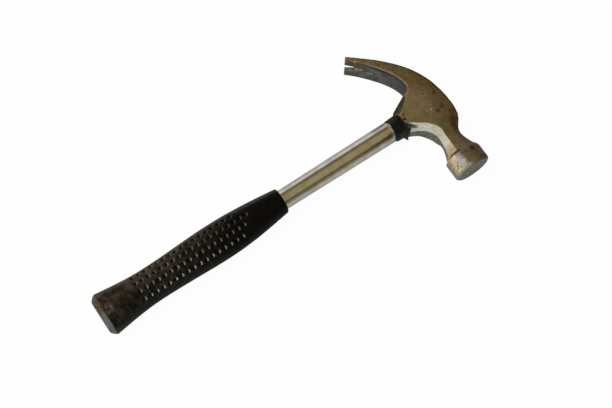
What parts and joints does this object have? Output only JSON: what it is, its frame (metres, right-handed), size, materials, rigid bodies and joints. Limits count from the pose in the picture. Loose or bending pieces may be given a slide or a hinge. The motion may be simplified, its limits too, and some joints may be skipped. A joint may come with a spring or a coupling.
{
  "type": "claw hammer",
  "caption": "Curved-claw hammer with a forged steel head, a tubular steel handle and a dimpled rubber grip.",
  "frame": {"origin": "middle of the butt's flat end face, on the handle's axis", "axes": "+X along the handle from the butt to the crown of the head, -Y towards the striking face, +Y towards the claw, +Z square to the cheeks; the hammer lies on its side"},
  "size_m": [0.3206, 0.1311, 0.0308],
  "materials": {
    "head_steel": "forged steel with a brown patina, worn bright on the neck, the poll and the claw's edges",
    "tube_steel": "chrome-plated steel tube with light scuffs",
    "plug_steel": "turned steel plug, driven in",
    "seal_pitch": "black sealing compound with a ragged edge",
    "grip_rubber": "moulded black rubber with rows of dimples, dusty and scuffed at the butt",
    "end_plug_plastic": "plain moulded plug"
  },
  "bodies": {
    "root": {"head": "head_steel", "handle_tube": "tube_steel", "eye_plug": "plug_steel", "seal_collar": "seal_pitch", "grip": "grip_rubber", "tube_end_plug": "end_plug_plastic"}
  },
  "joints": []
}
